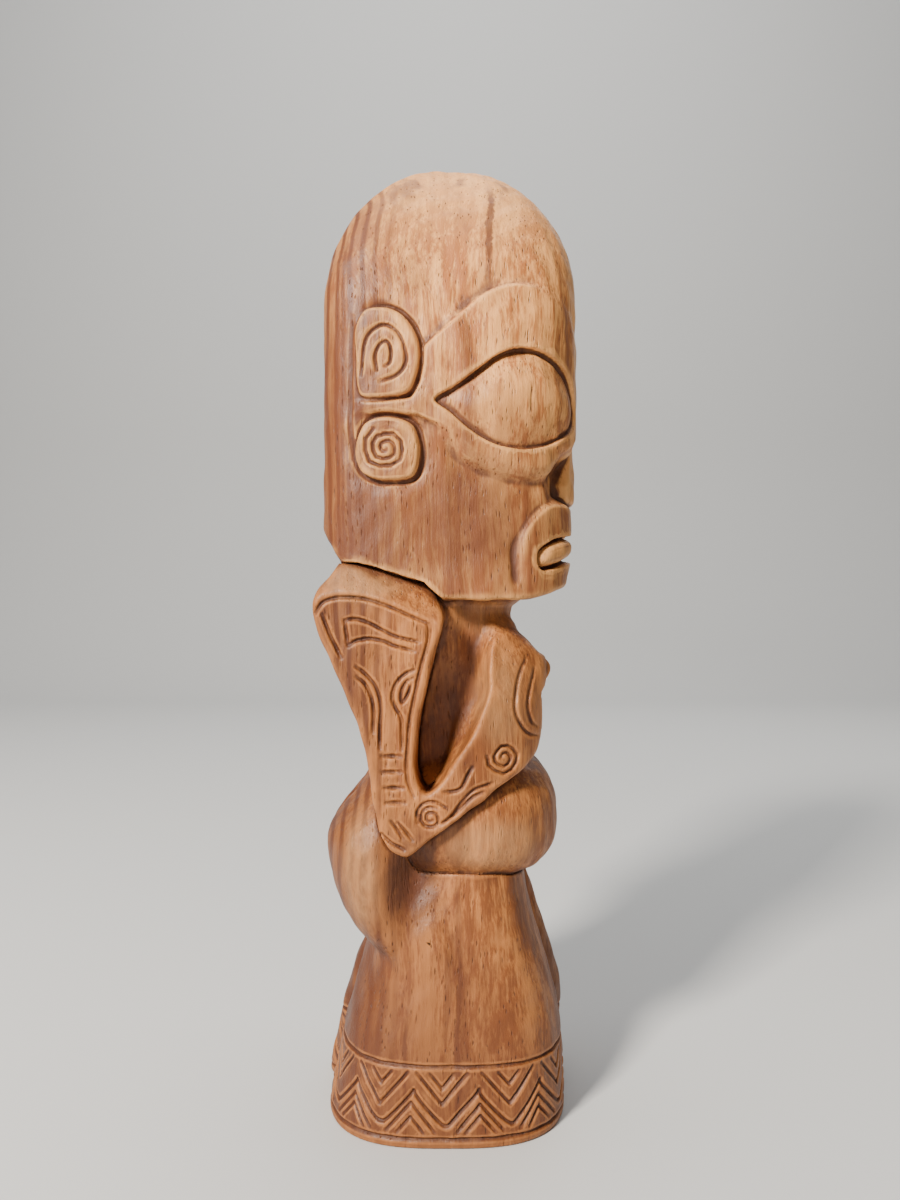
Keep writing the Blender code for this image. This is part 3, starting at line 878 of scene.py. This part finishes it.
def cut_out(mass, both_halves):
    """The mesh of one mass; a mass on the right side only keeps to Y <= 0."""
    cut = made[mass][0]
    wide = slice(max(cut.start - 2, 0), min(cut.stop + 2, len(ZS)))
    skin = whole[:, :, wide]
    border = np.full(skin.shape, FAR, np.float32)
    border[:, :, cut.start - wide.start : cut.stop - wide.start] = territory(mass, made)
    origin = (XS[0], YS[0], ZS[wide.start])
    if both_halves:
        skin, border = mirrored(skin), mirrored(border)
    else:
        border = np.maximum(border, Y + 0.1)
    points, quads = net(np.maximum(skin, border), origin)
    points = settle(points, Sampler(skin, origin), Sampler(border, origin))
    return points, quads


# The most triangles in each piece.
LIMITS = {"head": 150000, "torso": 70000, "arm": 110000, "belly": 60000, "hips": 60000, "leg": 130000}


def lengthen(made):
    """Makes the left leg a little longer than the right one, at its front and its back."""
    points = vertices_of(made)
    crease_height = 54.0 + 0.44 * (points[:, 0] + 27)
    below = ramp(crease_height - points[:, 2], 0.5, 14)
    front = 0.085 - 0.05 * ramp(34.0 - points[:, 2], 0, 22)
    points[:, 0] *= 1.0 + below * np.where(points[:, 0] > 0, front, 0.062)
    made.data.vertices.foreach_set("co", (points * MM).astype(np.float32).ravel())


def add_piece(name, mass, points, quads, mirror=False):
    if mirror:
        points, quads = points * (1, -1, 1), quads[:, ::-1]
    piece = piece_mesh(name + "_carved", points, quads)
    thin_out(piece, LIMITS[mass])
    mark_hollowness(piece, whole_skin)
    if mirror and mass == "leg":
        lengthen(piece)
    piece.data.shade_smooth()
    piece.data.set_sharp_from_angle(angle=math.radians(55))
    piece.data.materials.append(HEAD_WOOD if mass == "head" else BODY_WOOD)
    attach(piece, "root")
    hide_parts(name)


# Wood.


class Nodes:
    """Short names for building a material out of nodes."""

    def __init__(self, material):
        material.use_nodes = True
        self.tree = material.node_tree
        self.shader = self.tree.nodes["Principled BSDF"]

    def add(self, kind, settings=None, **inputs):
        node = self.tree.nodes.new("ShaderNode" + kind)
        for key, value in (settings or {}).items():
            setattr(node, key, value)
        for key, value in inputs.items():
            self.put(node.inputs[key.replace("_", " ")], value)
        return node

    def put(self, socket, value):
        if isinstance(value, bpy.types.NodeSocket):
            self.tree.links.new(value, socket)
        else:
            socket.default_value = value

    def calc(self, operation, *values):
        """One step of arithmetic."""
        node = self.tree.nodes.new("ShaderNodeMath")
        node.operation = operation
        for socket, value in zip(node.inputs, values):
            self.put(socket, value)
        return node.outputs[0]

    def times(self, a, b):
        return self.calc("MULTIPLY", a, b)

    def scaled(self, value, factor, added):
        return self.calc("MULTIPLY_ADD", value, factor, added)

    def above(self, value, low, high):
        """0 below low, 1 above high."""
        settings = {"interpolation_type": "SMOOTHSTEP"}
        return self.add("MapRange", settings, Value=value, From_Min=low, From_Max=high).outputs[0]

    def below(self, value, low, high):
        """1 below low, 0 above high."""
        return self.calc("SUBTRACT", 1, self.above(value, low, high))

    def noise(self, place, stretch, detail, roughness=0.55):
        """Noise with so many features a metre along X, Y and Z."""
        place = self.add("Mapping", Vector=place, Scale=stretch).outputs[0]
        made = self.add("TexNoise", Vector=place, Scale=1, Detail=detail, Roughness=roughness)
        return made.outputs["Fac"]

    def blob(self, place, centre, radii):
        """1 in the middle of an ellipsoid, fading to 0 at its edge."""
        mapping = self.add("Mapping", {"vector_type": "TEXTURE"}, Vector=place, Location=centre, Scale=radii)
        away = self.add("VectorMath", {"operation": "LENGTH"})
        self.put(away.inputs[0], mapping.outputs[0])
        return self.below(away.outputs["Value"], 0.35, 1)

    def paint(self, under, share, over):
        """Part of one colour laid over another. A plain colour is three numbers."""
        node = self.tree.nodes.new("ShaderNodeMix")
        node.data_type = "RGBA"
        self.put(node.inputs["Factor"], share)
        self.put(node.inputs[6], under if isinstance(under, bpy.types.NodeSocket) else (*under, 1))
        self.put(node.inputs[7], (*over, 1))
        return node.outputs[2]


def wood_material(name, light, middle, dark, stain_and_groove_shade, low_part, veins, shaded_places, lit_and_worn_places):
    """Oiled hardwood with upright grain, veins and pores; painted shade, with some dirt, darkens the hollows,
    and painted highlight, with wear, lightens the edges.
    """
    material = bpy.data.materials.new(name)
    nodes = Nodes(material)
    times, scaled, above, below, paint = nodes.times, nodes.scaled, nodes.above, nodes.below, nodes.paint
    place = nodes.add("TexCoord").outputs["Object"]

    # The grain wanders a little sideways on its way up.
    wander = nodes.add("TexNoise", Vector=place, Scale=26, Detail=2).outputs["Color"]
    centred = nodes.add("Mapping", Vector=place, Location=(-0.003, -0.003, 0)).outputs[0]
    shift = nodes.add("VectorMath", {"operation": "MULTIPLY_ADD"})
    for socket, value in zip(shift.inputs, (wander, (0.006, 0.006, 0), centred)):
        nodes.put(socket, value)
    grain = shift.outputs[0]
    across, _, up = nodes.add("SeparateXYZ", Vector=grain).outputs

    broad = nodes.noise(grain, (75, 75, 6), 2)
    streaks = nodes.noise(grain, (280, 280, 13), 4, 0.62)
    fibre = nodes.noise(grain, (1250, 1250, 80), 3, 0.65)
    patches = nodes.noise(place, (42, 42, 26), 4, 0.62)
    mottle = nodes.noise(place, (420, 420, 230), 4, 0.65)

    tone = scaled(mottle, 0.35, scaled(fibre, 0.75, scaled(broad, 0.8, times(streaks, 0.8))))
    colour = paint(light, above(tone, 1.20, 1.52), middle)
    colour = paint(colour, times(above(patches, 0.46, 0.68), 0.40), dark)

    # The crown, cut across the grain, is paler: partly the wood's own tone, partly painted light falling on
    # it from above.
    crown = (light[0] * 0.96, light[1] * 0.98, light[2])
    colour = paint(colour, times(above(up, 0.258, 0.292), 0.7), crown)

    # Growth rings: dark upright lines, crowded at the back of the figure.
    drawn_out = nodes.add("Mapping", Vector=grain, Scale=(1, 1, 0.10)).outputs[0]
    wave = nodes.add("TexWave", {"wave_type": "BANDS", "bands_direction": "X"}, Vector=drawn_out,
                     Scale=80, Distortion=3.2, Detail=2, Detail_Scale=0.8)
    back = above(times(across, -1), 0.012, 0.029)
    rings = times(above(wave.outputs["Fac"], 0.35, 0.95), scaled(back, 0.82, 0.12))
    colour = paint(colour, rings, dark)
    colour = paint(colour, times(back, 0.60), dark)

    # Darker, redder towards the bottom of the head and of the body, and towards the back; on the head this is
    # partly the wood's tone and partly painted shade, the lower head lit less than the crown.
    low, high, share = low_part
    level = scaled(patches, 0.030, scaled(across, 0.7, up))
    colour = paint(colour, times(below(level, low + 0.015, high + 0.015), share), dark)

    # Darker streaks running up through the wood, and single veins.
    streak = nodes.noise(grain, (110, 110, 4.5), 2)
    colour = paint(colour, times(above(streak, 0.57, 0.68), 0.58), dark)
    for middle_line, foot, top, half in veins:
        away = nodes.calc("ABSOLUTE", nodes.calc("SUBTRACT", across, middle_line))
        away = scaled(nodes.calc("SUBTRACT", mottle, 0.5), half * 2.4, away)
        run = times(above(up, foot, foot + 0.010), below(up, top - 0.010, top))
        colour = paint(colour, times(times(below(away, half * 0.3, half), run), 0.85), dark)

    # Pores: short upright dashes, thicker in some places.
    cells = nodes.add("Mapping", Vector=grain, Scale=(1150, 1150, 190))
    pore = nodes.add("TexVoronoi", Vector=cells.outputs[0], Scale=1)
    chance, strength, _ = nodes.add("SeparateColor", Color=pore.outputs["Color"]).outputs
    crowd = scaled(nodes.noise(place, (60, 60, 30), 2), 1.7, -0.34)
    dash = times(below(pore.outputs["Distance"], 0.08, 0.30), nodes.calc("LESS_THAN", chance, crowd))
    colour = paint(colour, times(dash, scaled(strength, 0.6, 0.32)), stain_and_groove_shade)

    # Painted shade darkens the wide hollows and the shaded places listed for each wood; the fine grooves
    # darken with dirt and painted shade, and the raised edges lighten with wear and painted highlight; alike
    # on both sides.
    fine = nodes.add("Attribute", {"attribute_name": "hollow_fine"}).outputs["Fac"]
    wide = nodes.add("Attribute", {"attribute_name": "hollow_wide"}).outputs["Fac"]
    # Painted shade: the wide hollows go darker, where shade falls.
    painted_shade = above(scaled(mottle, 1.2, times(wide, -1)), 0.72, 1.9)
    x, y, z = nodes.add("SeparateXYZ", Vector=place).outputs
    sides = nodes.add("CombineXYZ", X=x, Y=nodes.calc("ABSOLUTE", y), Z=z).outputs[0]
    # Painted shade at the listed shaded places, laid on below in a purplish dark.
    for centre, radii, share in shaded_places:
        blob = times(nodes.blob(sides, centre, radii), scaled(patches, 1.2, share - 0.6))
        painted_shade = nodes.calc("MAXIMUM", painted_shade, times(blob, scaled(mottle, 0.8, 0.6)))
    # Painted highlight, partly wear: pale patches at the listed lit places.
    for centre, radii, share in lit_and_worn_places:
        highlight_share = times(nodes.blob(sides, centre, radii), scaled(mottle, 0.9, share - 0.45))
        colour = paint(colour, highlight_share, PALE_SHEEN_AND_WEAR)
    colour = paint(colour, times(painted_shade, 0.85), (dark[0] * 0.95, dark[1] * 1.05, dark[2] * 1.3))
    # The fine grooves go darker: partly dirt, partly painted shade.
    groove_dirt_and_shade = times(above(times(fine, -1), 0.12, 0.90), scaled(mottle, 1.3, -0.16))
    colour = paint(colour, groove_dirt_and_shade, stain_and_groove_shade)
    # Raised edges go paler: partly wear, partly painted highlight.
    wear_and_edge_light = nodes.calc("MAXIMUM", above(fine, 0.22, 0.9), above(wide, 0.5, 1.8))
    colour = paint(colour, times(wear_and_edge_light, times(mottle, 0.75)), [min(1, 1.25 * part) for part in light])
    nodes.put(nodes.shader.inputs["Base Color"], colour)

    roughness = scaled(groove_dirt_and_shade, 0.20, scaled(streaks, 0.26, 0.36))
    nodes.put(nodes.shader.inputs["Roughness"], roughness)
    height = scaled(dash, -1, scaled(fibre, 0.9, mottle))
    bump = nodes.add("Bump", Height=height, Distance=0.00030, Strength=0.65)
    nodes.put(nodes.shader.inputs["Normal"], bump.outputs[0])
    nodes.shader.inputs["IOR"].default_value = 1.42
    return material


PALE_SHEEN_AND_WEAR = (0.54, 0.265, 0.105)  # pale wood, laid on as painted highlight where the light falls and where handling has taken the oil off
# Veins are (x, foot, top, half width); places of painted shade, and of painted highlight with wear, are
# (centre, radii, share), in metres.
HEAD_WOOD = wood_material(
    "head_wood",
    light=(0.86, 0.395, 0.122),
    middle=(0.44, 0.148, 0.038),
    dark=(0.130, 0.036, 0.012),
    stain_and_groove_shade=(0.050, 0.016, 0.008),
    low_part=(0.194, 0.240, 0.56),
    veins=[
        (0.0115, 0.248, 0.292, 0.0015), (-0.0275, 0.176, 0.250, 0.0012), (-0.0320, 0.165, 0.272, 0.0010),
        (0.0030, 0.183, 0.202, 0.0012), (0.0187, 0.161, 0.181, 0.0011),
    ],
    # Painted shade on the lower side of the head, at the cheek and under the ears, where less light falls
    # than on the crown.
    shaded_places=[
        ((0.004, 0.034, 0.184), (0.026, 0.024, 0.024), 0.66),
        ((-0.024, 0.034, 0.176), (0.022, 0.020, 0.020), 0.68),
    ],
    lit_and_worn_places=[],
)
BODY_WOOD = wood_material(
    "body_wood",
    light=(0.49, 0.186, 0.050),
    middle=(0.24, 0.073, 0.017),
    dark=(0.100, 0.027, 0.008),
    stain_and_groove_shade=(0.045, 0.014, 0.007),
    low_part=(-0.004, 0.084, 0.76),
    veins=[(0.002, 0, 0.060, 0.0012), (-0.014, 0.004, 0.040, 0.0010)],
    # Painted shade under the elbow, in the chest hollow behind the arm, and in the clefts between the legs at
    # the back and the front.
    shaded_places=[
        ((-0.012, 0.030, 0.078), (0.012, 0.020, 0.025), 1),
        ((-0.002, 0.012, 0.122), (0.011, 0.022, 0.030), 0.85),
        ((-0.015, 0.034, 0.087), (0.009, 0.014, 0.008), 0.6),
        ((-0.037, 0.004, 0.026), (0.017, 0.026, 0.050), 1.2),
        ((0.036, 0.004, 0.046), (0.012, 0.018, 0.045), 0.8),
    ],
    # Painted highlight, partly wear, on the belly, the shoulder cap, the buttock ridge and the hand; painted
    # light on the neck, which lies in the head's shadow.
    lit_and_worn_places=[
        ((0.013, 0.030, 0.086), (0.019, 0.022, 0.011), 0.40),
        ((-0.026, 0.034, 0.165), (0.018, 0.014, 0.008), 0.5),
        ((-0.027, 0.030, 0.078), (0.008, 0.022, 0.026), 0.40),
        ((0.014, 0.026, 0.130), (0.011, 0.020, 0.020), 0.40),
        ((0.008, 0.016, 0.155), (0.016, 0.016, 0.010), 0.30),
    ],
)
for mass in ("head", "torso", "belly", "hips"):
    add_piece(mass, mass, *cut_out(mass, both_halves=True))
for mass in ("arm", "leg"):
    points, quads = cut_out(mass, both_halves=False)
    add_piece("right_" + mass, mass, points, quads)
    add_piece("left_" + mass, mass, points, quads, mirror=True)


# Floor, light and camera.

SENSOR = 36.0
LENS = 27.0
EYE_LEVEL = 0.1592
DISTANCE = 0.2968


def floor():
    """A pale sheet that runs back and bends up behind the figure."""
    bend, back, high, half = 0.5, 1.1, 2.6, 3.0
    profile = [(-2.5, 0.0)]
    for i in range(17):
        angle = math.pi / 2 * i / 16
        profile.append((back + bend * math.sin(angle), bend * (1 - math.cos(angle))))
    profile.append((back + bend, high))
    corners = [(x, y, z) for y, z in profile for x in (-half, half)]
    faces = [(2 * i, 2 * i + 1, 2 * i + 3, 2 * i + 2) for i in range(len(profile) - 1)]
    mesh = bpy.data.meshes.new("floor")
    mesh.from_pydata(corners, [], faces)
    mesh.shade_smooth()
    sheet = bpy.data.objects.new("floor", mesh)
    bpy.context.scene.collection.objects.link(sheet)
    material = bpy.data.materials.new("pale_floor")
    material.use_nodes = True
    shader = material.node_tree.nodes["Principled BSDF"]
    shader.inputs["Base Color"].default_value = (0.60, 0.60, 0.59, 1.0)
    shader.inputs["Roughness"].default_value = 0.85
    mesh.materials.append(material)


def light(name, place, target, size, power, colour):
    lamp = bpy.data.lights.new(name, "AREA")
    lamp.shape = "SQUARE"
    lamp.size = size
    lamp.energy = power
    lamp.color = colour
    made = bpy.data.objects.new(name, lamp)
    bpy.context.scene.collection.objects.link(made)
    made.location = place
    made.rotation_euler = (Vector(target) - Vector(place)).to_track_quat("-Z", "Y").to_euler()


def camera():
    lens = bpy.data.cameras.new("camera")
    lens.lens = LENS
    lens.sensor_fit = "VERTICAL"
    lens.sensor_height = SENSOR
    lens.clip_start = 0.01
    made = bpy.data.objects.new("camera", lens)
    bpy.context.scene.collection.objects.link(made)
    made.location = (-0.0004, -DISTANCE, EYE_LEVEL)
    made.rotation_euler = (math.radians(90), 0.0, 0.0)
    bpy.context.scene.camera = made


def sky():
    world = bpy.data.worlds.new("studio")
    world.use_nodes = True
    background = world.node_tree.nodes["Background"]
    background.inputs["Color"].default_value = (0.80, 0.84, 0.88, 1.0)
    background.inputs["Strength"].default_value = 0.18
    bpy.context.scene.world = world


floor()
light("key", (-0.62, -0.80, 0.80), (0.0, 0.0, 0.17), 0.2, 34.5, (1.0, 0.93, 0.84))
light("fill", (0.8, -1.0, 0.5), (0.0, 0.0, 0.15), 0.9, 0.8, (1.0, 1.0, 1.0))
light("rim", (0.25, 0.9, 0.8), (0.0, 0.0, 0.15), 0.7, 2.0, (1.0, 1.0, 1.0))
light("backdrop", (0.0, 0.3, 1.9), (0.0, 1.6, 0.8), 1.2, 26.0, (1.0, 1.0, 1.0))
sky()
camera()
